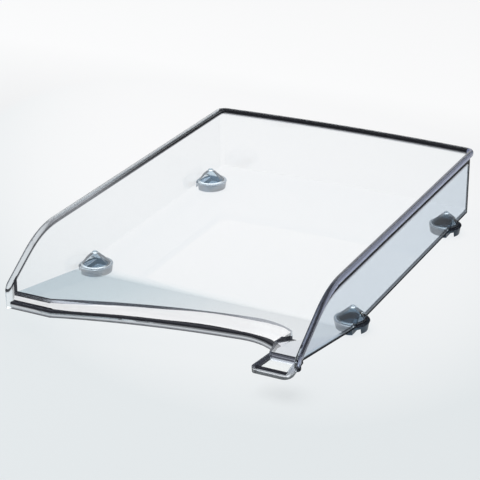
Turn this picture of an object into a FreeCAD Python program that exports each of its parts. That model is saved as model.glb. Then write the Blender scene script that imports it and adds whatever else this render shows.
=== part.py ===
import FreeCAD, Part
import math
import os
from FreeCAD import Vector

# A clear moulded letter tray for A4 and C4 paper, with four hollow stacking feet, a soft pad under
# each foot, and a label holder on the front right corner. Millimetres.
# The pieces are laid out with x = 0 on the middle of the tray, y = 0 at the front ends of the side
# walls and z = 0 under the floor. The last section moves them to stand on z = 0 about the middle.

# Tray: overall sizes and walls
RIM_SPAN = 255.0            # over the outside of the two side rims
BACK_Y = 366.5              # outside of the rear rim, at the middle of its bow
BOW = 5.0                   # how far the middle of the back stands behind its corners
CORNER_RADIUS = 9.0         # rear corners, outside of the rim
RIM_TOP = 59.2              # top of the rim above the underside of the floor
RIM_OVERHANG = 2.6          # rim outside the wall
RIM_SKIRT = 5.6             # height of the rim
RIM_ROUND = 2.0             # rounding of the rim's edges
WALL = 2.0
FLOOR = 2.0

# Front: sloping side walls and ramp
BEND_Y = 44.0               # where the level rim would meet the slope
BEND_RADIUS = 76.5
SLOPE_DEG = 33.0            # slope of the side walls' front edges
FRONT_RADIUS = 10.0         # bend at the foot of each slope
NOSE_Y = -11.0              # front of the right rim, which lands on the label holder
FOLD_Y = 96.0               # where the floor turns up into the ramp
FOLD_RADIUS = 90.0          # bend between them, at the underside
RAMP_DEG = 10.55

# Front lip: a crest that stands on the ramp, a nose that falls forward and an edge bead.
# Places on it are (distance in from the outside of the right wall, y).
CREST_Z = 20.3
CREST_LEFT_Y = 3.4          # straight stretch at the left
CREST_LEFT_RUN = 34.5       # its length from the outside of the left wall
CREST_MIDDLE = (141.2, 27.8)
CREST_PEAK = (62.8, 43.7)
CREST_SHOULDER = (44.0, 43.9)
CREST_END = (24.5, 36.3)
BEAD_TOP = 14.4
BEAD_HEIGHT = 5.9
BEAD_WIDTH = 3.6
BEAD_ROUND = 1.0
BEAD_PROUD = 1.7            # top of the bead above the edge of the nose
BEAD_LEFT_Y = -2.2          # inside of the bead, straight stretch at the left
BEAD_LEFT_RUN = 38.3
BEAD_MIDDLE = (135.3, 18.5)
BEAD_PEAK = (66.7, 29.6)
BEAD_SHOULDER = (47.1, 29.2)
BEAD_END = (31.5, 22.4)

# Label holder on the front right corner
TAB_INSET = 0.3             # right edge inside the outside of the wall
TAB_FRONT_WIDTH = 32.6
TAB_REAR_WIDTH = 25.9       # the left edge slants
TAB_FRONT = -20.5
TAB_REAR = 0.0
TAB_REAR_Z = 18.9           # top of the holder at its rear edge
TAB_DEG = 10.5              # tilt towards the reader
TAB_THICK = 4.4
TAB_BAR = 4.2               # width of the bars round the opening
TAB_REAR_BAR = 4.6
TAB_LEFT_CORNER = 3.0
TAB_RIGHT_CORNER = 7.0
POCKET_FLOOR = 1.0          # plate under the card
CARD_THICK = 0.4
CARD_CLEARANCE = 0.2        # round the card, on each side
CARD_LEDGE = 1.2            # how far the card reaches under the bars

# Feet: cups that hang under hollow cones in the floor
FOOT_INSET = 8.9            # axis of a foot in from the outside of the wall
FOOT_FRONT_Y = 110.7
FOOT_REAR_IN = 47.0         # axis of a rear foot from the back
FOOT_RADIUS = 14.8          # at the top
FOOT_BASE_RADIUS = 13.8     # at the bottom
FOOT_HEIGHT = 6.8
FOOT_BORE = 11.2            # inside radius
FOOT_PLATE = 2.2            # bottom of the cup
GROOVE_DEPTH = 4.6          # takes the rim of the tray below
GROOVE_CLEARANCE = 0.35     # beside the rim, on each side
GROOVE_WALL = 1.8           # plastic between the groove and the inside of the cup
DOME_RADIUS = 15.2          # cone over a foot, at the underside of the floor
DOME_TIP_RADIUS = 1.2
DOME_HEIGHT = 13.0
DOME_WALL = 2.0
SPIGOT_WALL = 1.0           # ring on top of a foot that locates it in the floor
SPIGOT_HEIGHT = 1.5
SPIGOT_CLEARANCE = 0.1
PAD_RADIUS = 5.6
PAD_INSET = 4.6             # pad axis from the foot's axis, towards the middle of the tray
PAD_THICK = 1.6
PAD_PROUD = 0.4             # pad below the foot
PAD_ROUND = 0.3

# Worked out from the sizes above
RIM_HALF = RIM_SPAN / 2
WALL_OUT = RIM_HALF - RIM_OVERHANG
WALL_IN = WALL_OUT - WALL
BOW_RADIUS = (RIM_HALF ** 2 + BOW ** 2) / (2 * BOW)
SLOPE = math.tan(math.radians(SLOPE_DEG))
RAMP = math.tan(math.radians(RAMP_DEG))
BEAD_BOTTOM = BEAD_TOP - BEAD_HEIGHT
POST_Y = BEAD_LEFT_Y - BEAD_WIDTH
TAB_RIGHT = WALL_OUT - TAB_INSET
TAB_FRONT_LEFT = TAB_RIGHT - TAB_FRONT_WIDTH
TAB_REAR_LEFT = TAB_RIGHT - TAB_REAR_WIDTH
FOOT_X = WALL_OUT - FOOT_INSET
FOOT_REAR_Y = BACK_Y - FOOT_REAR_IN
SPIGOT_RADIUS = FOOT_BORE + SPIGOT_WALL
BEYOND = RIM_SPAN           # reach of cutting bodies past the tray
LEVEL = 0.01                # a face flatter than this lies level
LEFT, RIGHT = -1, 1


def slope_z(y):
    """Height of the rim's top line on the front slope, before rounding."""
    return RIM_TOP - SLOPE * (BEND_Y - y)


def ramp_under(y):
    """Height of the ramp's underside."""
    return RAMP * (FOLD_Y - y)


def side_point(y, z, x=0.0):
    return Vector(x, y, z)


def plan_point(place, z=0.0):
    """A place on the lip, given as (distance in from the right wall, y)."""
    return Vector(WALL_OUT - place[0], place[1], z)


def line(a, b):
    return Part.LineSegment(a, b).toShape()


def arc(a, b, c):
    return Part.Arc(a, b, c).toShape()


def closed_face(edges):
    return Part.Face(Part.Wire(edges))


def polygon_face(points):
    return Part.Face(Part.makePolygon(points + points[:1]))


def fuse_all(shapes):
    whole = shapes[0]
    for shape in shapes[1:]:
        whole = whole.fuse(shape)
    return whole


def plan_outline(inset, right_y, left_y):
    """Edges of the tray's plan from the right front round the bowed back to the left front."""
    half = RIM_HALF - inset
    corner = CORNER_RADIUS - inset
    bow = BOW_RADIUS - inset
    bow_y = BACK_Y - BOW_RADIUS
    centre = Vector(half - corner, bow_y + math.sqrt((bow - corner) ** 2 - (half - corner) ** 2), 0)
    outward = (centre - Vector(0, bow_y, 0)).normalize()
    meet = centre + outward * corner
    between = (Vector(1, 0, 0) + outward).normalize()
    middle = centre + between * corner
    side = Vector(half, centre.y, 0)

    def mirrored(p):
        return Vector(-p.x, p.y, p.z)

    return [
        line(Vector(half, right_y, 0), side),
        arc(side, middle, meet),
        arc(meet, Vector(0, bow_y + bow, 0), mirrored(meet)),
        arc(mirrored(meet), mirrored(middle), mirrored(side)),
        line(mirrored(side), Vector(-half, left_y, 0)),
    ]


def plan_face(inset, front_y):
    half = RIM_HALF - inset
    front = line(Vector(-half, front_y, 0), Vector(half, front_y, 0))
    return closed_face(plan_outline(inset, front_y, front_y) + [front])


def rear_rim_y():
    """Where the side rims meet the rear rim, on the straight just before the rear corners."""
    return plan_outline(0.0, 0.0, 0.0)[0].Vertexes[1].Point.y - CORNER_RADIUS


def rounded_line(points, radii):
    """Edges of a line through the points, with a tangent arc of each radius at the inner points."""
    edges = []
    start = points[0]
    for before, corner, after, radius in zip(points, points[1:], points[2:], radii):
        back = (before - corner).normalize()
        ahead = (after - corner).normalize()
        half_angle = back.getAngle(ahead) / 2
        reach = radius / math.tan(half_angle)
        bisector = (back + ahead).normalize()
        top = corner + bisector * (radius / math.sin(half_angle) - radius)
        edges.append(line(start, corner + back * reach))
        edges.append(arc(corner + back * reach, top, corner + ahead * reach))
        start = corner + ahead * reach
    edges.append(line(start, points[-1]))
    return edges


def lowered(points, depth):
    """The line through the points, moved square to itself by depth, to the right of its run."""
    runs = [(b - a).normalize() for a, b in zip(points, points[1:])]
    normals = [Vector(0, -r.z, r.y) for r in runs]
    moved = [points[0] + normals[0] * depth]
    for corner, first, second in zip(points[1:], normals, normals[1:]):
        moved.append(corner + (first + second) * (depth / (1 + first.dot(second))))
    moved.append(points[-1] + normals[-1] * depth)
    return moved


def rim_top_line(side, rear_y):
    """Top of a side rim from the rear to its landing at the front, as points and bend radii."""
    front_y, landing_z = (POST_Y, BEAD_BOTTOM)
    if side == RIGHT:
        front_y, landing_z = (NOSE_Y, tab_middle_z(NOSE_Y))
    level = [side_point(rear_y, RIM_TOP), side_point(BEND_Y, RIM_TOP)]
    slope = [side_point(front_y, slope_z(front_y)), side_point(front_y, landing_z)]
    return level + slope, [BEND_RADIUS, FRONT_RADIUS]


def chain_ends(edges):
    """First and last point of a chain of edges that was made in order."""
    return edges[0].Vertexes[0].Point, edges[-1].Vertexes[1].Point


def side_strip(side, rear_y, depth_top, depth_bottom, x_low, x_high):
    """Solid strip that follows a side rim, between two depths below its top line."""
    points, radii = rim_top_line(side, rear_y)
    upper = rounded_line(lowered(points, depth_top), [r - depth_top for r in radii])
    lower = rounded_line(lowered(points, depth_bottom), [r - depth_bottom for r in radii])
    upper_start, upper_end = chain_ends(upper)
    lower_start, lower_end = chain_ends(lower)
    edges = upper + [line(upper_end, lower_end)] + lower + [line(lower_start, upper_start)]
    face = Part.Face(Part.Wire(Part.sortEdges(edges)[0]))
    strip = face.extrude(Vector(x_high - x_low, 0, 0))
    strip.translate(Vector(x_low, 0, 0))
    return strip


def rim():
    """Rim along both sides and the back, with rounded edges."""
    rear_y = rear_rim_y()
    outer = plan_face(0.0, rear_y).extrude(Vector(0, 0, RIM_SKIRT))
    inner = plan_face(RIM_OVERHANG + WALL, rear_y).extrude(Vector(0, 0, RIM_SKIRT))
    back = outer.cut(inner)
    back.translate(Vector(0, 0, RIM_TOP - RIM_SKIRT))
    right = side_strip(RIGHT, rear_y, 0.0, RIM_SKIRT, WALL_IN, RIM_HALF)
    left = side_strip(LEFT, rear_y, 0.0, RIM_SKIRT, -RIM_HALF, -WALL_IN)
    whole = fuse_all([back, right, left]).removeSplitter()
    return whole.makeFillet(RIM_ROUND, long_edges(whole))


def long_edges(whole):
    """Edges that run along the rim, which leaves out those of its two landings at the front."""
    low = RIM_TOP - 2 * RIM_SKIRT
    landings = [f for f in whole.Faces if f.BoundBox.ZLength < LEVEL and f.BoundBox.ZMax < low]
    skipped = [e.hashCode() for f in landings for e in f.Edges]
    return [e for e in whole.Edges if e.hashCode() not in skipped]


def walls():
    """Side walls and back, cut to the side profile."""
    outer = plan_face(RIM_OVERHANG, -BEYOND).extrude(Vector(0, 0, RIM_TOP))
    inner = plan_face(RIM_OVERHANG + WALL, -2 * BEYOND).extrude(Vector(0, 0, RIM_TOP))
    upright = outer.cut(inner)
    return [upright.common(side_profile(LEFT)), upright.common(side_profile(RIGHT))]


def side_profile(side):
    """Half space of one side, below the middle of the rim and above the ramp's underside."""
    points, radii = rim_top_line(side, BACK_Y + BEYOND)
    upper = rounded_line(lowered(points, RIM_SKIRT / 2), [r - RIM_SKIRT / 2 for r in radii])
    start, end = chain_ends(upper)
    front_y = CREST_LEFT_Y if side == LEFT else TAB_REAR
    under = underside(start.y, front_y)
    rear, front = chain_ends(under)
    edges = upper + under + [line(end, front), line(rear, start)]
    face = Part.Face(Part.Wire(Part.sortEdges(edges)[0]))
    return face.extrude(Vector(side * (RIM_HALF + BEYOND), 0, 0))


def crest_edges(z=0.0):
    """Crest from its right end to the left wall."""
    peak = plan_point(CREST_PEAK, z)
    turn = Vector(CREST_LEFT_RUN - WALL_OUT, CREST_LEFT_Y, z)
    return [
        arc(plan_point(CREST_END, z), plan_point(CREST_SHOULDER, z), peak),
        arc(peak, plan_point(CREST_MIDDLE, z), turn),
        line(turn, Vector(-WALL_OUT, CREST_LEFT_Y, z)),
    ]


def bead_edges(z=0.0):
    """Inside of the edge bead from its right end to the left wall."""
    peak = plan_point(BEAD_PEAK, z)
    turn = Vector(BEAD_LEFT_RUN - WALL_OUT, BEAD_LEFT_Y, z)
    return [
        arc(plan_point(BEAD_END, z), plan_point(BEAD_SHOULDER, z), peak),
        arc(peak, plan_point(BEAD_MIDDLE, z), turn),
        line(turn, Vector(-WALL_OUT, BEAD_LEFT_Y, z)),
    ]


def bead_front():
    """Front corner of the bead's right end, in plan."""
    return plan_point(BEAD_END) - Vector(0, BEAD_WIDTH, 0)


def band(edges, width, height):
    """Upright band of the given width in front of a chain of level edges."""
    front = []
    for edge in edges:
        moved = edge.copy()
        moved.translate(Vector(0, -width, 0))
        front.append(moved)
    first, last = chain_ends(edges)
    across = Vector(0, -width, 0)
    closing = [line(first, first + across), line(last, last + across)]
    face = Part.Face(Part.Wire(Part.sortEdges(edges + front + closing)[0]))
    return face.extrude(Vector(0, 0, height))


def fold_line(rear_y, front_y):
    """Underside of the floor and ramp from the rear to the front, before rounding."""
    return [side_point(rear_y, 0.0), side_point(FOLD_Y, 0.0), side_point(front_y, ramp_under(front_y))]


def underside(rear_y, front_y):
    return rounded_line(fold_line(rear_y, front_y), [FOLD_RADIUS])


def floor_and_ramp():
    """Floor that turns up into a ramp, which rises to the lip and at the right to the label holder."""
    rear_y = BACK_Y + BEYOND
    under = underside(rear_y, TAB_REAR)
    top = rounded_line(lowered(fold_line(rear_y, TAB_REAR), -FLOOR), [FOLD_RADIUS - FLOOR])
    ends = [line(a, b) for a, b in zip(chain_ends(under), chain_ends(top))]
    section = Part.Face(Part.Wire(Part.sortEdges(under + top + ends)[0]))
    slab = section.extrude(Vector(2 * WALL_OUT, 0, 0))
    slab.translate(Vector(-WALL_OUT, 0, 0))
    corners = [plan_point(CREST_END), plan_point(BEAD_END), bead_front()]
    corners += [Vector(TAB_REAR_LEFT, TAB_REAR, 0), Vector(WALL_OUT, TAB_REAR, 0)]
    edges = crest_edges() + [line(a, b) for a, b in zip(corners, corners[1:])]
    edges += plan_outline(RIM_OVERHANG, TAB_REAR, CREST_LEFT_Y)
    plan = Part.Face(Part.Wire(Part.sortEdges(edges)[0]))
    return slab.common(plan.extrude(Vector(0, 0, BEYOND)))


def above_ramp():
    """Everything above the ramp's underside."""
    front_y = TAB_FRONT - BEYOND
    return polygon_face([
        side_point(FOLD_Y, 0.0, -RIM_SPAN),
        side_point(FOLD_Y, RIM_TOP, -RIM_SPAN),
        side_point(front_y, RIM_TOP, -RIM_SPAN),
        side_point(front_y, ramp_under(front_y), -RIM_SPAN),
    ]).extrude(Vector(2 * RIM_SPAN, 0, 0))


def rounded_bead():
    """Edge bead with its long edges rounded."""
    bar = band(bead_edges(BEAD_BOTTOM), BEAD_WIDTH, BEAD_HEIGHT)
    level = [e for e in bar.Edges if e.BoundBox.ZLength < LEVEL]
    return bar.makeFillet(BEAD_ROUND, [e for e in level if e.BoundBox.XLength > LEVEL])


def lip():
    """Riser behind the crest, nose in front of it, edge bead and the closed right end."""
    riser = band(crest_edges(), WALL, CREST_Z - FLOOR).common(above_ramp())
    pairs = zip(crest_edges(CREST_Z), bead_edges(BEAD_TOP - BEAD_PROUD))
    nose = [Part.makeRuledSurface(a, b).extrude(Vector(0, 0, -FLOOR)) for a, b in pairs]
    bead = rounded_bead()
    end = polygon_face([
        plan_point(CREST_END, ramp_under(CREST_END[1])),
        plan_point(CREST_END, CREST_Z),
        plan_point(BEAD_END, ramp_under(BEAD_END[1]) + FLOOR),
        plan_point(BEAD_END, BEAD_BOTTOM),
    ]).extrude(Vector(-WALL, 0, 0))
    return [riser, bead, end] + nose


def tilted(shape):
    """Moves a solid from the label holder's own plane to its place on the tray.

    In that plane x is as on the tray, y runs from the rear edge (0) to the front, and z = 0 is the
    holder's top.
    """
    shape.rotate(Vector(0, 0, 0), Vector(1, 0, 0), TAB_DEG)
    shape.translate(Vector(0, TAB_REAR, TAB_REAR_Z))
    return shape


def block(x_low, x_high, y_low, y_high, z_low, z_high):
    return Part.makeBox(x_high - x_low, y_high - y_low, z_high - z_low, Vector(x_low, y_low, z_low))


def tab_length():
    """Length of the label holder along its tilted plane."""
    return (TAB_REAR - TAB_FRONT) / math.cos(math.radians(TAB_DEG))


def tab_middle_z(y):
    """Height of the middle of the label holder's thickness."""
    return TAB_REAR_Z - TAB_THICK / 2 - math.tan(math.radians(TAB_DEG)) * (TAB_REAR - y)


def tab_left(y):
    """Left edge of the label holder at a place y in its own plane."""
    return TAB_REAR_LEFT + (TAB_REAR_LEFT - TAB_FRONT_LEFT) * y / tab_length()


def tab_slab(left_inset, x_high, y_low, y_high, z_low, z_high):
    """Slab in the holder's own plane with a left end that follows the holder's left edge."""
    return polygon_face([
        Vector(x_high, y_low, z_low),
        Vector(x_high, y_high, z_low),
        Vector(tab_left(y_high) + left_inset, y_high, z_low),
        Vector(tab_left(y_low) + left_inset, y_low, z_low),
    ]).extrude(Vector(0, 0, z_high - z_low))


def opening_sides():
    """Right, front and rear sides of the opening over the card, in the holder's own plane."""
    return TAB_RIGHT - TAB_BAR, TAB_BAR - tab_length(), -TAB_REAR_BAR


def slot_levels():
    """Underside and top of the slot for the card, in the holder's own plane."""
    low = POCKET_FLOOR - TAB_THICK
    return low, low + CARD_THICK + 2 * CARD_CLEARANCE


def tab():
    """Label holder: a frame round an opening, with a slot for the card that is open at the left."""
    rear, front = WALL, -tab_length()
    rear_left, rear_right = Vector(tab_left(rear), rear, 0), Vector(TAB_RIGHT, rear, 0)
    corners = [rear_left, Vector(tab_left(front), front, 0), Vector(TAB_RIGHT, front, 0), rear_right]
    edges = rounded_line(corners, [TAB_LEFT_CORNER, TAB_RIGHT_CORNER])
    plate = closed_face(edges + [line(rear_right, rear_left)]).extrude(Vector(0, 0, -TAB_THICK))
    x_high, y_low, y_high = opening_sides()
    low, high = slot_levels()
    under = CARD_LEDGE
    opening = tab_slab(TAB_BAR, x_high, y_low, y_high, high, TAB_THICK)
    slot = tab_slab(-TAB_BAR, x_high + under, y_low - under, y_high + under, low, high)
    return tilted(plate.cut(opening).cut(slot))


def tab_root():
    """Upright strip under the edge of the ramp between the lip's bead and the label holder."""
    front = Vector(TAB_REAR_LEFT, TAB_REAR, 0)
    back = (bead_front() - front).normalize()
    rear = bead_front() + back * 2 * BEAD_WIDTH
    return polygon_face([
        rear + Vector(0, 0, BEAD_BOTTOM),
        rear + Vector(0, 0, ramp_under(rear.y) + FLOOR),
        front + Vector(0, 0, ramp_under(front.y) + FLOOR),
        front + Vector(0, 0, TAB_REAR_Z - TAB_THICK),
    ]).extrude(Vector(WALL, 0, 0))


def at_feet(shape_for):
    """One copy of a shape for each foot, by name; shape_for takes the side."""
    placed = {}
    for row, y in (("front", FOOT_FRONT_Y), ("rear", FOOT_REAR_Y)):
        for side_name, side in (("left", LEFT), ("right", RIGHT)):
            shape = shape_for(side)
            shape.translate(Vector(side * FOOT_X, y, 0))
            placed[row + "_" + side_name] = shape
    return placed


def dome(side):
    return Part.makeCone(DOME_RADIUS, DOME_TIP_RADIUS, DOME_HEIGHT)


def hollow(side):
    """Inside of a dome, with the seat for the foot's ring at its mouth."""
    taper = (DOME_RADIUS - DOME_TIP_RADIUS) / DOME_HEIGHT
    mouth = DOME_RADIUS - DOME_WALL * math.hypot(1, taper)
    cone = Part.makeCone(mouth, DOME_TIP_RADIUS, (mouth - DOME_TIP_RADIUS) / taper)
    seat = Part.makeCylinder(SPIGOT_RADIUS + SPIGOT_CLEARANCE, SPIGOT_HEIGHT + SPIGOT_CLEARANCE)
    return cone.fuse(seat)


def tray_shell():
    domes = list(at_feet(dome).values())
    pieces = [floor_and_ramp()] + walls() + [rim()] + lip() + [tab(), tab_root()] + domes
    shell = fuse_all(pieces)
    for space in at_feet(hollow).values():
        shell = shell.cut(space)
    return shell


def foot(side):
    """Cup with a locating ring on top, a groove for a rim below and a seat for its pad."""
    base = -FOOT_HEIGHT
    rim_width = WALL + RIM_OVERHANG
    rim_middle = side * (RIM_HALF - rim_width / 2 - FOOT_X)
    half_groove = rim_width / 2 + GROOVE_CLEARANCE
    half_sleeve = half_groove + GROOVE_WALL
    top = base + GROOVE_DEPTH
    groove = block(rim_middle - half_groove, rim_middle + half_groove, -BEYOND, BEYOND, base, top)
    top += GROOVE_WALL
    sleeve = block(rim_middle - half_sleeve, rim_middle + half_sleeve, -BEYOND, BEYOND, base, top)
    body = Part.makeCone(FOOT_BASE_RADIUS, FOOT_RADIUS, FOOT_HEIGHT, Vector(0, 0, base))
    ring = Part.makeCylinder(SPIGOT_RADIUS, SPIGOT_HEIGHT)
    depth = FOOT_HEIGHT - FOOT_PLATE + SPIGOT_HEIGHT
    bore = Part.makeCylinder(FOOT_BORE, depth, Vector(0, 0, base + FOOT_PLATE)).cut(sleeve)
    seat = Part.makeCylinder(PAD_RADIUS, PAD_THICK - PAD_PROUD, Vector(-side * PAD_INSET, 0, base))
    return body.fuse(ring).cut(bore).cut(groove).cut(seat).removeSplitter()


def pad(side):
    """Soft disc pressed into the seat under a foot."""
    disc = Part.makeCylinder(PAD_RADIUS, PAD_THICK, Vector(-side * PAD_INSET, 0, -FOOT_HEIGHT - PAD_PROUD))
    low = disc.BoundBox.ZMin
    return disc.makeFillet(PAD_ROUND, [e for e in disc.Edges if e.BoundBox.ZMax < low + PAD_ROUND])


def label_card():
    """Blank card that slides out of the open left end of the holder's slot."""
    x_high, y_low, y_high = opening_sides()
    low = slot_levels()[0] + CARD_CLEARANCE
    under = CARD_LEDGE - CARD_CLEARANCE
    return tilted(tab_slab(0.0, x_high + under, y_low - under, y_high + under, low, low + CARD_THICK))


# Every piece, moved to stand on z = 0 about the middle of its length, and written out
stand = Vector(0, -(BACK_Y + TAB_FRONT) / 2, FOOT_HEIGHT + PAD_PROUD)
nodes = {"tray_shell": tray_shell(), "label_card": label_card()}
for corner_name, shape in at_feet(foot).items():
    nodes["foot_" + corner_name] = shape
for corner_name, shape in at_feet(pad).items():
    nodes["pad_" + corner_name] = shape
os.makedirs("parts", exist_ok=True)
for name, shape in nodes.items():
    shape.translate(stand)
    print(name, shape.isValid(), len(shape.Solids), round(shape.Volume, 1), shape.BoundBox)
    shape.exportStep("parts/" + name + ".step")
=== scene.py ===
import math

import bpy
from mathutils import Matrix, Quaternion, Vector


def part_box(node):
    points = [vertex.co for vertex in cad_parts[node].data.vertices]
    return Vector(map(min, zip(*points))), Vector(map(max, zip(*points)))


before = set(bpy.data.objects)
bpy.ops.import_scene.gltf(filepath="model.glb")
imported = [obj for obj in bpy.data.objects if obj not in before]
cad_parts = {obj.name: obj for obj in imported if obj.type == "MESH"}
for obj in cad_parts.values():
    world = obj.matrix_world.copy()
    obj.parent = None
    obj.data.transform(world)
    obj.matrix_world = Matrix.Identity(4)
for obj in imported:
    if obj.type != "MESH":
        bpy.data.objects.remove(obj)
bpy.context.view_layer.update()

# Tray: one clear polystyrene moulding with floor, ramp, walls, rim, swept lip and label holder. It is
# injection moulded in a polished tool, so its faces are glossy, with faint flow waves and scratches.
clear = (1.0, 1.0, 1.0, 1.0)
polystyrene_tint = (0.57, 0.71, 0.79, 1.0)
polystyrene_index = 1.57
polish, scratched_polish = 0.006, 0.05
flow_wave = 0.00002
tray_density = 30.0


def new_material(name):
    """An empty node material with its output node."""
    material = bpy.data.materials.new(name)
    material.use_nodes = True
    material.node_tree.nodes.clear()
    return material, add(material, "OutputMaterial")


def feed(material, socket, value):
    """Links a node's output to a socket, or sets the socket to a plain number or colour."""
    if isinstance(value, bpy.types.NodeSocket):
        material.node_tree.links.new(socket, value)
    else:
        socket.default_value = value


def add(material, kind, inputs=(), **settings):
    """Adds a node, sets its sockets or properties by name, and feeds (socket, value) pairs to it."""
    node = material.node_tree.nodes.new("ShaderNode" + kind)
    for key, value in settings.items():
        socket = node.inputs.get(key.replace("_", " "))
        if socket is None:
            setattr(node, key, value)
        else:
            socket.default_value = value
    for name, value in inputs:
        feed(material, node.inputs[name], value)
    return node


def reckon(material, kind, *values):
    """A Math node whose inputs are sockets or plain numbers."""
    return add(material, "Math", enumerate(values), operation=kind).outputs["Value"]


def clear_plastic(name, density):
    """Polished clear polystyrene: refracting, with faint flow waves and hairline scratches."""
    material, output = new_material(name)
    place = add(material, "TexCoord").outputs["Object"]
    flow = add(material, "TexNoise", [("Vector", place)], Scale=22.0, Detail=2.0, Roughness=0.4)
    wave = add(material, "Bump", [("Height", flow.outputs["Fac"])], Strength=0.35, Distance=flow_wave)
    stretch = add(
        material, "Mapping", [("Vector", place)], Rotation=(0.0, 0.0, 0.5), Scale=(1.0, 14.0, 14.0),
    )
    scratch = add(material, "TexNoise", [("Vector", stretch.outputs["Vector"])], Scale=160.0, Detail=3.0)
    gloss = add(
        material, "MapRange", [("Value", scratch.outputs["Fac"])],
        From_Min=0.55, From_Max=0.8, To_Min=polish, To_Max=scratched_polish,
    )
    skin = add(
        material, "BsdfPrincipled",
        [("Normal", wave.outputs["Normal"]), ("Roughness", gloss.outputs["Result"])],
        Base_Color=clear, IOR=polystyrene_index, Transmission_Weight=1.0, Specular_IOR_Level=0.12,
    )
    through = add(material, "BsdfTransparent", Color=(0.975, 0.98, 0.985, 1.0))
    path = add(material, "LightPath").outputs
    unseen = reckon(material, "MAXIMUM", path["Is Shadow Ray"], path["Is Diffuse Ray"])
    mirrored = reckon(material, "SUBTRACT", path["Is Glossy Ray"], path["Is Transmission Ray"])
    straight = reckon(material, "MAXIMUM", unseen, mirrored)
    shader = add(
        material, "MixShader",
        [("Fac", straight), (1, skin.outputs["BSDF"]), (2, through.outputs["BSDF"])],
    )
    inside = add(material, "VolumeAbsorption", Color=polystyrene_tint, Density=density)
    feed(material, output.inputs["Surface"], shader.outputs["Shader"])
    feed(material, output.inputs["Volume"], inside.outputs["Volume"])
    return material, skin, shader


def dress(node, material):
    """Gives a CAD node one material in all its slots."""
    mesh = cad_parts[node].data
    mesh.materials.clear()
    mesh.materials.append(material)


tray, tray_skin, tray_shader = clear_plastic("clear_tray", tray_density)
dress("tray_shell", tray)

# Ramp and right wall of the tray: at the front the floor turns up into a ramp. The ramp is painted with
# a blue-grey painted shade that fades out to the right, and the right wall with a blue painted shade.
tray_side, wall_face, wall_margin = 0.125, 0.1225, 0.002
fold_front, fold_middle, fold_rear = -0.088, -0.077, -0.066
lip_front, lip_depth = -0.18, 0.06
crest_line = (
    (-0.125, -0.1696), (-0.0904, -0.1696), (-0.0163, -0.1452),
    (0.0621, -0.1293), (0.0809, -0.1291), (0.1004, -0.1367),
)
right_wall_painted_shade = (0.72, 0.77, 0.83, 1.0)


def within(material, value, low, high):
    """1 where a value lies between two limits, and 0 elsewhere."""
    return reckon(material, "COMPARE", value, (low + high) / 2, (high - low) / 2)


def share(material, value, low, high):
    """How far a value has come from one limit to another, as 0 to 1."""
    return reckon(material, "DIVIDE", reckon(material, "SUBTRACT", value, low), high - low)


def all_of(material, mask, *others):
    """A mask that is 1 where all the given masks are."""
    for other in others:
        mask = reckon(material, "MULTIPLY", mask, other)
    return mask


def shades(material, value, stops):
    """Colour ramp over a value from 0 to 1, from (place, colour) pairs."""
    node = add(material, "ValToRGB", [("Fac", value)])
    first, last = node.color_ramp.elements
    first.position, first.color = stops[0]
    last.position, last.color = stops[-1]
    for place, colour in stops[1:-1]:
        node.color_ramp.elements.new(place).color = colour
    return node.outputs["Color"]


def painted(material, under, mask, over, blend="MIX"):
    """One colour laid over another where a mask is 1; each is a socket or a plain value."""
    layers = [("Factor", mask), ("A", under), ("B", over)]
    return add(material, "Mix", layers, data_type="RGBA", blend_type=blend).outputs["Result"]


def eased(material, value, start, end):
    """A mask that rises smoothly from 0 to 1 as a value goes from start to end."""
    node = add(
        material, "MapRange", [("Value", value)], interpolation_type="SMOOTHSTEP",
        From_Min=start, From_Max=end,
    )
    return node.outputs["Result"]


def run_of(material, across, line):
    """Depth y of a line of the lip at the width x, by a curve through the line's points."""
    (first_x, first_y), last_x = line[0], line[-1][0]
    curve = add(material, "FloatCurve", [("Value", share(material, across, first_x, last_x))])
    points = curve.mapping.curves[0].points
    while len(points) < len(line):
        points.new(0.5, 0.5)
    for point, (line_x, line_y) in zip(points, line):
        point.location = ((line_x - first_x) / (last_x - first_x), (line_y - lip_front) / lip_depth)
        point.handle_type = "VECTOR" if line_y == first_y else "AUTO"
    curve.mapping.update()
    return reckon(material, "MULTIPLY_ADD", curve.outputs["Value"], lip_depth, lip_front)


tray_spot = add(tray, "SeparateXYZ", [("Vector", add(tray, "TexCoord").outputs["Object"])]).outputs
tray_x, tray_y, tray_z = (tray_spot[axis] for axis in "XYZ")
on_right = reckon(tray, "GREATER_THAN", tray_x, wall_face - wall_margin)
on_left = reckon(tray, "LESS_THAN", tray_x, wall_margin - wall_face)
between_walls = within(tray, tray_x, -wall_face, wall_face)
behind_crest = reckon(tray, "SUBTRACT", tray_y, run_of(tray, tray_x, crest_line))
ramp_painted_shade = shades(tray, share(tray, tray_x, -tray_side, tray_side), (
    (0.0, (0.56, 0.665, 0.72, 1.0)),
    (0.25, (0.625, 0.73, 0.775, 1.0)),
    (0.45, (0.75, 0.82, 0.85, 1.0)),
    (0.7, (0.91, 0.93, 0.94, 1.0)),
    (1.0, clear),
))
on_ramp = all_of(
    tray, eased(tray, tray_y, fold_rear, fold_front), between_walls,
    reckon(tray, "GREATER_THAN", behind_crest, 0.0),
)
# The tray's colour is built up below, mark by mark, from painted shade laid over clear plastic.
tray_painted_shade = painted(tray, clear, on_ramp, ramp_painted_shade)
tray_painted_shade = painted(tray, tray_painted_shade, on_right, right_wall_painted_shade)

# Domes over the feet: hollow cones moulded up from the tray's floor, one above each foot. They are
# painted blue-grey as painted shade for how their slopes bend the light: the left front one darker than
# the left rear one, and the right ones darkest low down, the rear one most.
tray_low, tray_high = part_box("tray_shell")
dome_radius, dome_height, floor_thickness = 0.0154, 0.0112, 0.0022
dome_base = tray_low.z + floor_thickness
dome_reach = 1.5 * dome_height
low_dome_height = 0.55 * dome_height
left_front_dome_painted_shade, left_rear_dome_painted_shade = (0.72, 0.78, 0.83, 1.0), (0.88, 0.94, 0.98, 1.0)
right_rear_dome_painted_shade = (0.15, 0.22, 0.28, 1.0)


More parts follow.
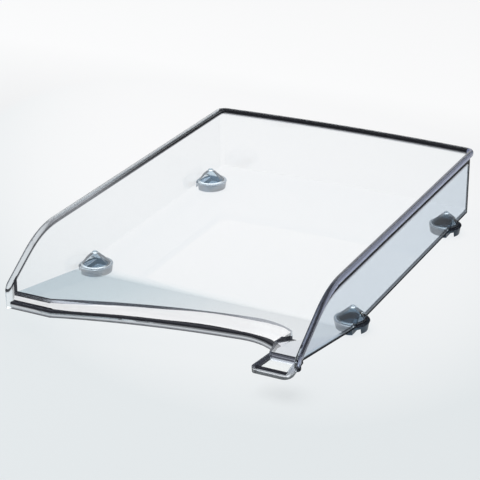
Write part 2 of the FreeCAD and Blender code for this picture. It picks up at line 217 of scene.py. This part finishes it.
def middle_of(node):
    """Middle of a CAD node's box at rest."""
    low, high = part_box(node)
    return (low + high) / 2


front_foot, rear_foot = middle_of("foot_front_right"), middle_of("foot_rear_right")
rows_middle, rows_half = (rear_foot.y + front_foot.y) / 2, (rear_foot.y - front_foot.y) / 2
from_rows_middle = reckon(tray, "ABSOLUTE", reckon(tray, "SUBTRACT", tray_y, rows_middle))
from_row = reckon(tray, "SUBTRACT", from_rows_middle, rows_half)
from_side = reckon(tray, "SUBTRACT", reckon(tray, "ABSOLUTE", tray_x), rear_foot.x)
from_foot = reckon(tray, "MULTIPLY_ADD", from_row, from_row, reckon(tray, "MULTIPLY", from_side, from_side))
on_dome = all_of(
    tray, reckon(tray, "LESS_THAN", from_foot, dome_radius ** 2), between_walls,
    within(tray, tray_z, dome_base, dome_base + dome_reach),
)
on_rear = reckon(tray, "GREATER_THAN", tray_y, rows_middle)
left_dome_painted_shade = painted(tray, left_front_dome_painted_shade, on_rear, left_rear_dome_painted_shade)
right_dome_painted_shade = shades(tray, share(tray, tray_z, dome_base, dome_base + dome_height), (
    (0.0, (0.2, 0.28, 0.34, 1.0)),
    (0.45, (0.22, 0.31, 0.37, 1.0)),
    (0.6, (0.6, 0.69, 0.75, 1.0)),
    (1.0, clear),
))
on_low_rear = all_of(tray, on_rear, reckon(tray, "LESS_THAN", tray_z, dome_base + low_dome_height))
right_dome_painted_shade = painted(tray, right_dome_painted_shade, on_low_rear, right_rear_dome_painted_shade)
dome_painted_shade = painted(tray, left_dome_painted_shade, reckon(tray, "GREATER_THAN", tray_x, 0.0), right_dome_painted_shade)
tray_painted_shade = painted(tray, tray_painted_shade, on_dome, dome_painted_shade)

# Rim and edges of the walls: a thick rail along the top of the walls, down their sloping front ends,
# and the lower and rear edges of the right wall. They pipe light away, and the dark, grey and blue-grey
# lines this gives are painted on them as painted shade.
ramp_slope, edge_height = 0.1863, 0.0019
rim_height, rim_outside, right_rim_reach = 0.0062, 0.1263, 2.1
bend_y, bend_ease, bend_slope = -0.129, 0.0206, math.tan(math.radians(33.0))
rail_start, rail_end, rail_run, outer_rail_depth = 0.38, 0.68, 0.19, 0.2
rear_edge, rear_patch = tray_high.y - 0.014, tray_high.y - 0.0255
patch_top, patch_slope, patch_reach = 1.2, 75.0, 9.0
black = (0.01, 0.01, 0.014, 1.0)
navy = (0.02, 0.027, 0.05, 1.0)

climb = reckon(tray, "MULTIPLY_ADD", tray_y, -ramp_slope, tray_low.z + ramp_slope * fold_middle)
above_edge = reckon(tray, "SUBTRACT", tray_z, reckon(tray, "MAXIMUM", climb, tray_low.z))
on_lower_edge = all_of(tray, on_right, reckon(tray, "LESS_THAN", above_edge, edge_height))
tray_painted_shade = painted(tray, tray_painted_shade, on_lower_edge, (0.04, 0.045, 0.05, 1.0))

sloping = reckon(tray, "MULTIPLY_ADD", tray_y, bend_slope, tray_high.z - bend_slope * bend_y)
rim_line = reckon(tray, "SMOOTH_MIN", sloping, tray_high.z, bend_ease)
rim_depth = reckon(tray, "DIVIDE", reckon(tray, "SUBTRACT", rim_line, tray_z), rim_height)
back_rim_painted_shade = shades(tray, rim_depth, (
    (0.0, (0.42, 0.42, 0.44, 1.0)),
    (0.12, (0.32, 0.32, 0.34, 1.0)),
    (0.28, (0.08, 0.08, 0.09, 1.0)),
    (0.36, black),
    (0.52, black),
    (0.7, (0.26, 0.26, 0.28, 1.0)),
    (0.9, (0.7, 0.71, 0.73, 1.0)),
    (1.0, clear),
))
left_rim_painted_shade = shades(tray, rim_depth, (
    (0.0, (0.8, 0.81, 0.83, 1.0)),
    (0.3, (0.88, 0.89, 0.91, 1.0)),
    (0.42, (0.27, 0.27, 0.29, 1.0)),
    (0.66, (0.27, 0.27, 0.29, 1.0)),
    (0.82, (0.8, 0.81, 0.83, 1.0)),
    (1.0, clear),
))
rail_painted_shade = shades(tray, share(tray, tray_y, -rail_run, rail_run), (
    (0.0, (0.03, 0.03, 0.035, 1.0)),
    (0.1, (0.12, 0.12, 0.13, 1.0)),
    (0.22, (0.22, 0.22, 0.24, 1.0)),
    (0.36, (0.25, 0.25, 0.27, 1.0)),
    (0.55, (0.1, 0.1, 0.11, 1.0)),
    (0.8, black),
    (1.0, black),
))
left_rim_painted_shade = painted(tray, left_rim_painted_shade, within(tray, rim_depth, rail_start, rail_end), rail_painted_shade)
on_outer_rail = all_of(
    tray, reckon(tray, "LESS_THAN", tray_x, -rim_outside),
    reckon(tray, "LESS_THAN", rim_depth, outer_rail_depth),
)
left_rim_painted_shade = painted(tray, left_rim_painted_shade, on_outer_rail, (0.06, 0.06, 0.07, 1.0))
on_rim = reckon(tray, "LESS_THAN", rim_depth, 1.0)
tray_painted_shade = painted(tray, tray_painted_shade, on_rim, painted(tray, back_rim_painted_shade, on_left, left_rim_painted_shade))

right_rim_painted_shade = shades(tray, reckon(tray, "DIVIDE", rim_depth, right_rim_reach), (
    (0.0, (0.2, 0.21, 0.34, 1.0)),
    (0.1, (0.17, 0.18, 0.31, 1.0)),
    (0.25, (0.28, 0.31, 0.48, 1.0)),
    (0.46, (0.22, 0.25, 0.39, 1.0)),
    (0.53, navy),
    (0.74, navy),
    (0.87, (0.4, 0.43, 0.5, 1.0)),
    (1.0, right_wall_painted_shade),
))
on_right_rim = all_of(tray, on_right, reckon(tray, "LESS_THAN", rim_depth, right_rim_reach))
tray_painted_shade = painted(tray, tray_painted_shade, on_right_rim, right_rim_painted_shade)
under_rim = all_of(tray, on_right, reckon(tray, "GREATER_THAN", rim_depth, 1.0))
on_rear_edge = all_of(tray, under_rim, reckon(tray, "GREATER_THAN", tray_y, rear_edge))
tray_painted_shade = painted(tray, tray_painted_shade, on_rear_edge, (0.12, 0.13, 0.15, 1.0))
# A dark patch painted at the rear of the right wall, below its rim: painted shade.
patch_line = reckon(tray, "MULTIPLY_ADD", tray_y, patch_slope, patch_top - patch_slope * rear_patch)
above_patch_line = reckon(tray, "SUBTRACT", patch_line, rim_depth)
on_patch = all_of(
    tray, under_rim, reckon(tray, "GREATER_THAN", tray_y, rear_patch),
    within(tray, above_patch_line, 0.0, patch_reach),
)
tray_painted_shade = painted(tray, tray_painted_shade, on_patch, (0.05, 0.055, 0.08, 1.0))

# Swept lip: a blunt nose with a fine crest along its top and a bead under its edge, swept back towards
# the right. Crest and bead are painted with dark and grey lines as painted shade, and the nose between
# them is frosted by the tool.
nose_left, nose_right, nose_bottom, nose_reach = -0.123, 0.1, 0.0192, 0.03
crest_gap, bead_gap = 0.002, 0.001
bead_line = (
    (-0.125, -0.1752), (-0.0866, -0.1752), (-0.0104, -0.1545),
    (0.0582, -0.1434), (0.0778, -0.1438), (0.0934, -0.1506),
)
bead_right, bead_behind, bead_ahead = 0.0945, 0.0014, 0.006
bead_bottom, bead_top = 0.0157, 0.0224
crest_half, crest_bottom = 0.0022, 0.0245

before_bead = reckon(tray, "SUBTRACT", run_of(tray, tray_x, bead_line), tray_y)
bead_painted_shade = shades(tray, share(tray, tray_z, bead_bottom, bead_top), (
    (0.0, (0.2, 0.2, 0.22, 1.0)),
    (0.12, (0.22, 0.22, 0.24, 1.0)),
    (0.24, (0.66, 0.67, 0.69, 1.0)),
    (0.54, (0.6, 0.61, 0.63, 1.0)),
    (0.68, (0.12, 0.12, 0.13, 1.0)),
    (0.76, black),
    (0.94, black),
    (1.0, (0.16, 0.16, 0.17, 1.0)),
))
on_bead = all_of(
    tray, within(tray, before_bead, -bead_behind, bead_ahead), within(tray, tray_x, -wall_face, bead_right),
)
tray_painted_shade = painted(tray, tray_painted_shade, on_bead, bead_painted_shade)
crest_painted_shade = shades(tray, share(tray, tray_x, -tray_side, nose_right), (
    (0.0, (0.04, 0.04, 0.05, 1.0)),
    (0.12, (0.09, 0.09, 0.1, 1.0)),
    (0.18, (0.27, 0.27, 0.31, 1.0)),
    (0.5, (0.2, 0.2, 0.23, 1.0)),
    (0.75, (0.24, 0.24, 0.28, 1.0)),
    (1.0, (0.42, 0.42, 0.46, 1.0)),
))
along_nose = within(tray, tray_x, nose_left, nose_right)
on_crest = all_of(
    tray, within(tray, behind_crest, -crest_half, crest_half), along_nose,
    reckon(tray, "GREATER_THAN", tray_z, crest_bottom),
)
tray_painted_shade = painted(tray, tray_painted_shade, on_crest, crest_painted_shade)
on_nose = all_of(
    tray, within(tray, behind_crest, -nose_reach, -crest_gap),
    within(tray, before_bead, -nose_reach, -bead_gap),
    along_nose, reckon(tray, "GREATER_THAN", tray_z, nose_bottom),
)

# Apron beside the lip: the ramp runs on past the lip's right end to the label holder. The step at the
# end of the lip and the left edge of the apron are cut faces, painted with dark lines as painted shade,
# and the apron is painted a pale lavender-grey painted shade that fades in towards the front.
end_x, end_y = bead_line[-1]
end_turn = math.radians(26.74)
end_behind, end_ahead, end_front, end_rear, end_height = 0.0015, 0.002, -0.1515, -0.1355, 0.0055
label_left, label_rear = 0.092, -0.173
apron_left, apron_slant, apron_rear = 0.0987, 0.2366, -0.1512
apron_edge_outside, apron_edge_inside = 0.002, 0.0018
slate = (0.13, 0.14, 0.19, 1.0)

end_offset = end_y * math.sin(end_turn) - end_x * math.cos(end_turn)
from_end = reckon(tray, "MULTIPLY_ADD", tray_x, math.cos(end_turn), end_offset)
from_end = reckon(tray, "MULTIPLY_ADD", tray_y, -math.sin(end_turn), from_end)
on_end = all_of(
    tray, within(tray, from_end, -end_behind, end_ahead), within(tray, tray_y, end_front, end_rear),
    reckon(tray, "LESS_THAN", above_edge, end_height),
)
tray_painted_shade = painted(tray, tray_painted_shade, on_end, (0.1, 0.1, 0.13, 1.0))
on_apron = all_of(
    tray, eased(tray, tray_y, fold_rear, label_rear), within(tray, tray_x, label_left, wall_face),
    reckon(tray, "GREATER_THAN", from_end, end_ahead),
)
tray_painted_shade = painted(tray, tray_painted_shade, on_apron, (0.8, 0.81, 0.86, 1.0))
from_apron_edge = reckon(tray, "MULTIPLY_ADD", tray_y, apron_slant, tray_x)
from_apron_edge = reckon(tray, "SUBTRACT", from_apron_edge, apron_left + apron_slant * label_rear)
on_apron_edge = all_of(
    tray, within(tray, from_apron_edge, -apron_edge_outside, apron_edge_inside),
    within(tray, tray_y, label_rear, apron_rear),
)
tray_painted_shade = painted(tray, tray_painted_shade, on_apron_edge, slate)

# Label holder: an open frame of bars at the front right corner, moulded with the tray, with a slot for
# a card. Its bars are thick for their width, and the grey they show is painted on as painted shade,
# darkest on the left bar and at the rear, with a black painted-shade line along the slot.
label_front, label_right = tray_low.y, 0.1255
label_slant, label_bar, label_margin = 0.0067, 0.0042, 0.001
slot_left, slot_right, slot_bottom = 0.0965, 0.1212, 0.0222
bar_span, frame_span, slot_span = (0.12, 0.95), (-0.1, 1.03), (0.03, 0.23)

along_label = share(tray, tray_y, label_front, label_rear)
label_painted_shade = shades(tray, along_label, (
    (0.0, (0.45, 0.46, 0.48, 1.0)),
    (0.2, (0.5, 0.51, 0.54, 1.0)),
    (0.3, (0.5, 0.52, 0.58, 1.0)),
    (0.86, (0.5, 0.52, 0.58, 1.0)),
    (0.92, (0.1, 0.1, 0.15, 1.0)),
    (1.0, (0.1, 0.1, 0.15, 1.0)),
))
from_left_edge = reckon(tray, "MULTIPLY_ADD", along_label, -label_slant, tray_x)
on_left_bar = all_of(
    tray, reckon(tray, "LESS_THAN", from_left_edge, label_left + label_bar),
    within(tray, along_label, *bar_span),
)
label_painted_shade = painted(tray, label_painted_shade, on_left_bar, slate)
on_label = all_of(
    tray, within(tray, tray_x, label_left - label_margin, label_right),
    within(tray, along_label, *frame_span),
)
tray_painted_shade = painted(tray, tray_painted_shade, on_label, label_painted_shade)
on_slot = all_of(
    tray, within(tray, tray_x, slot_left, slot_right), within(tray, along_label, *slot_span),
    reckon(tray, "GREATER_THAN", tray_z, slot_bottom),
)
tray_painted_shade = painted(tray, tray_painted_shade, on_slot, black)

# Tray shader: the painted shade above colours the plastic, the nose lets less light through, and the
# darkest painted lines are blended into a near-black dull surface, more painted shade. Below its rim the
# right wall mirrors little, so the feet show through it, and the light through it there is tinted
# blue-grey as painted shade.
nose_frost, painted_line_strength, wall_directness = 0.7, 0.85, 0.85
line_start, line_full = 0.3, 0.03
feed(tray, tray_skin.inputs["Base Color"], tray_painted_shade)
feed(tray, tray_skin.inputs["Transmission Weight"], reckon(tray, "MULTIPLY_ADD", on_nose, -nose_frost, 1.0))
right_wall_shaded_refraction = add(
    tray, "BsdfRefraction", Color=(0.86, 0.89, 0.92, 1.0), IOR=polystyrene_index, Roughness=polish,
)
below_right_rim = all_of(tray, on_right, reckon(tray, "GREATER_THAN", rim_depth, right_rim_reach))
tray_wall = add(tray, "MixShader", [
    ("Fac", reckon(tray, "MULTIPLY", below_right_rim, wall_directness)),
    (1, tray_skin.outputs["BSDF"]), (2, right_wall_shaded_refraction.outputs["BSDF"]),
])
painted_line_share = add(
    tray, "MapRange", [("Value", tray_painted_shade)],
    From_Min=line_start, From_Max=line_full, To_Max=painted_line_strength,
)
painted_line_surface = add(tray, "BsdfDiffuse", Color=(0.02, 0.021, 0.027, 1.0))
tray_with_painted_lines = add(tray, "MixShader", [
    ("Fac", painted_line_share.outputs["Result"]),
    (1, tray_wall.outputs["Shader"]), (2, painted_line_surface.outputs["BSDF"]),
])
feed(tray, tray_shader.inputs[1], tray_with_painted_lines.outputs["Shader"])

# Round stacking feet: hollow clear polystyrene cups, each located by a ring in the mouth of the cone
# above it. Their curved walls and grooves bend the light, and the darkness this gives is painted on as
# painted shade, foot by foot: darkest and least clear on the right, the rear right most, and darker at
# the front left than at the rear left.
foot_density = 250.0
foot_painted_shade = {
    "front_left": (0.3, 0.38, 0.45, 1.0), "rear_left": (0.42, 0.52, 0.62, 1.0),
    "front_right": (0.13, 0.19, 0.25, 1.0), "rear_right": (0.08, 0.12, 0.16, 1.0),
}
foot_clarity = {"front_left": 0.5, "rear_left": 0.5, "front_right": 0.2, "rear_right": 0.2}
for corner, painted_shade in foot_painted_shade.items():
    foot_plastic, foot_skin, _ = clear_plastic("clear_foot_" + corner, foot_density)
    feed(foot_plastic, foot_skin.inputs["Base Color"], painted_shade)
    feed(foot_plastic, foot_skin.inputs["Transmission Weight"], foot_clarity[corner])
    dress("foot_" + corner, foot_plastic)

# Soft pads under the feet: dark dull rubber discs, stamped from sheet and pressed into their seats.
# Their fine grain shows in relief and in tone.


def grained(name, dark, pale, dullness, relief, relief_depth, **grain):
    """A dull material whose fine grain shows in its relief and its tone."""
    material, output = new_material(name)
    place = add(material, "TexCoord").outputs["Object"]
    noise = add(material, "TexNoise", [("Vector", place)], **grain).outputs["Fac"]
    tone = shades(material, noise, ((0.0, dark), (1.0, pale)))
    bump = add(material, "Bump", [("Height", noise)], Strength=relief, Distance=relief_depth)
    face = add(
        material, "BsdfPrincipled",
        [("Base Color", tone), ("Normal", bump.outputs["Normal"])], Roughness=dullness,
    )
    feed(material, output.inputs["Surface"], face.outputs["BSDF"])
    return material


rubber = grained(
    "pad_rubber", dark=(0.02, 0.022, 0.024, 1.0), pale=(0.045, 0.047, 0.05, 1.0),
    dullness=0.75, relief=0.4, relief_depth=0.0002, Scale=900.0, Detail=4.0,
)
for corner in foot_painted_shade:
    dress("pad_" + corner, rubber)

# Label card: a blank slip of white card in the slot of the label holder, which it slides out of to
# the left. It is cut from plain card, and its fibres show in the light.
card = grained(
    "label_card_paper", dark=(0.8, 0.83, 0.82, 1.0), pale=(0.9, 0.92, 0.91, 1.0),
    dullness=0.85, relief=0.25, relief_depth=0.0001, Scale=2400.0, Detail=5.0, Roughness=0.7,
)
dress("label_card", card)

# Floor: a plain pale surface, wide enough to fill the view, with a painted pool of light in a wide oval
# behind the tray and painted shade that darkens it towards the front. It shows this painted tone to the
# eye and through the plastic, and takes soft shadows.
floor_size, floor_gap = 14.0, 0.0005
pool_middle, pool_turn, pool_width = (-0.16, 0.35, 0.0), math.radians(30.0), 0.335
pool_fall, floor_mirroring = 4.0, 0.85
floor_near, floor_far = -0.18, 0.47
pool_edge_tone = (0.565, 0.6, 0.612, 1.0)
bpy.ops.mesh.primitive_plane_add(size=floor_size, location=(0.0, 0.0, -floor_gap))
floor = bpy.context.object
floor.name = "floor"
floor_paper, floor_output = new_material("floor_paper")
floor_lit = add(floor_paper, "BsdfDiffuse", Color=(0.2, 0.203, 0.206, 1.0))
floor_place = add(floor_paper, "TexCoord").outputs["Object"]
pool_place = add(
    floor_paper, "Mapping", [("Vector", floor_place)], vector_type="TEXTURE", Location=pool_middle,
    Rotation=(0.0, 0.0, pool_turn), Scale=(pool_width, 2.0 * pool_width, 1.0),
)
from_pool = add(floor_paper, "VectorMath", [("Vector", pool_place.outputs["Vector"])], operation="LENGTH")
painted_light_pool = shades(floor_paper, reckon(floor_paper, "POWER", from_pool.outputs["Value"], pool_fall), (
    (0.0, (0.745, 0.745, 0.747, 1.0)), (0.88, pool_edge_tone), (1.0, pool_edge_tone),
))
floor_depth = add(floor_paper, "SeparateXYZ", [("Vector", floor_place)]).outputs["Y"]
painted_depth_shade = shades(floor_paper, share(floor_paper, floor_depth, floor_near, floor_far), (
    (0.0, (0.45, 0.46, 0.47, 1.0)), (1.0, (0.775, 0.775, 0.775, 1.0)),
))
floor_painted_light = painted(floor_paper, painted_light_pool, 1.0, painted_depth_shade, blend="LIGHTEN")
floor_path = add(floor_paper, "LightPath").outputs
floor_mirrored = reckon(floor_paper, "MULTIPLY", floor_path["Is Glossy Ray"], floor_mirroring)
floor_through = reckon(floor_paper, "MAXIMUM", floor_path["Is Transmission Ray"], floor_mirrored)
floor_seen = reckon(floor_paper, "MAXIMUM", floor_path["Is Camera Ray"], floor_through)
floor_glow = add(floor_paper, "Emission", [("Color", floor_painted_light), ("Strength", floor_seen)])
floor_sum = add(
    floor_paper, "AddShader", [(0, floor_lit.outputs["BSDF"]), (1, floor_glow.outputs["Emission"])],
)
feed(floor_paper, floor_output.inputs["Surface"], floor_sum.outputs["Shader"])
floor.data.materials.append(floor_paper)

# Studio: a bright screen behind the tray, a soft lamp overhead, and dim surroundings elsewhere, so
# that level faces shine and the plastic's edges draw dark lines; the tray's dark edge lines are also
# painted on, as painted shade.
screen_direction, screen_edge, screen_full = (-0.4, 0.81, 0.43), 0.925, 0.985
screen_light, dim_light = (1.52, 1.52, 1.52, 1.0), (0.3, 0.303, 0.315, 1.0)
studio = bpy.data.worlds.new("studio")
bpy.context.scene.world = studio
studio.use_nodes = True
studio.node_tree.nodes.clear()
look = add(studio, "TexCoord").outputs["Generated"]
facing = add(studio, "VectorMath", [(0, look), (1, screen_direction)], operation="DOT_PRODUCT")
on_screen = eased(studio, facing.outputs["Value"], screen_edge, screen_full)
studio_light = add(studio, "Background", [("Color", painted(studio, dim_light, on_screen, screen_light))])
add(studio, "OutputWorld", [("Surface", studio_light.outputs["Background"])])

lamp_data = bpy.data.lights.new("overhead", "AREA")
lamp_data.shape = "RECTANGLE"
lamp_data.size = 1.9
lamp_data.size_y = 1.7
lamp_data.energy = 29.0
lamp = bpy.data.objects.new("overhead", lamp_data)
lamp.location = (-0.55, -0.35, 1.6)
lamp.visible_glossy = False
bpy.context.scene.collection.objects.link(lamp)

# Camera: a long lens from the front right, a little above the tray, with a slight roll. Its place and
# angles were fitted to the tray's corners as the photograph shows them.
camera_data = bpy.data.cameras.new("camera")
camera_data.sensor_width = 36.0
camera_data.lens = 126.4
camera_data.clip_end = 100.0
camera = bpy.data.objects.new("camera", camera_data)
azimuth, elevation, roll = (math.radians(degrees) for degrees in (26.71, 23.83, -0.19))
outward = Vector((
    math.sin(azimuth) * math.cos(elevation), -math.cos(azimuth) * math.cos(elevation), math.sin(elevation),
))
camera.location = (0.5684, -1.1533, 0.5956)
camera.rotation_mode = "QUATERNION"
camera.rotation_quaternion = outward.to_track_quat("Z", "Y") @ Quaternion((0.0, 0.0, 1.0), roll)
bpy.context.scene.collection.objects.link(camera)
bpy.context.scene.camera = camera
bpy.context.scene.view_settings.view_transform = "Standard"
